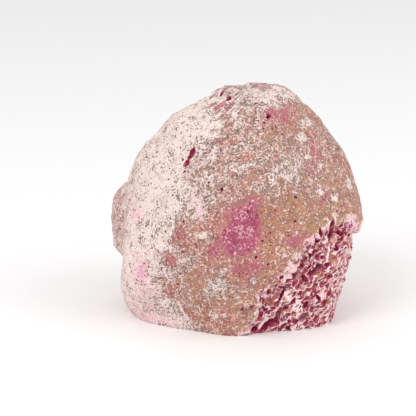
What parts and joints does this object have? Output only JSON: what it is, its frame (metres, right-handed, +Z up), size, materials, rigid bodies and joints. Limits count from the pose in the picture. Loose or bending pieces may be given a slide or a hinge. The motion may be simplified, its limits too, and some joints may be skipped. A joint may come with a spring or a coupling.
{
  "type": "rough agate nodule",
  "caption": "Rounded rough agate nodule on a flat sawn foot, with a chalky rind and a low corner broken away to a face of small angular hollows.",
  "frame": {"origin": "middle of the flat sawn foot, under the middle of the bounding box", "axes": "+Z up, the stone's front faces -Y, +X to the right as seen from the front; the broken corner is low at +X, -Y"},
  "size_m": [0.1005, 0.0797, 0.0917],
  "materials": {
    "agate_rind": "rough chalky agate rind, cream to tan with rose and magenta patches, crimson inside the hollows"
  },
  "bodies": {
    "root": {"nodule": "agate_rind"}
  },
  "joints": []
}
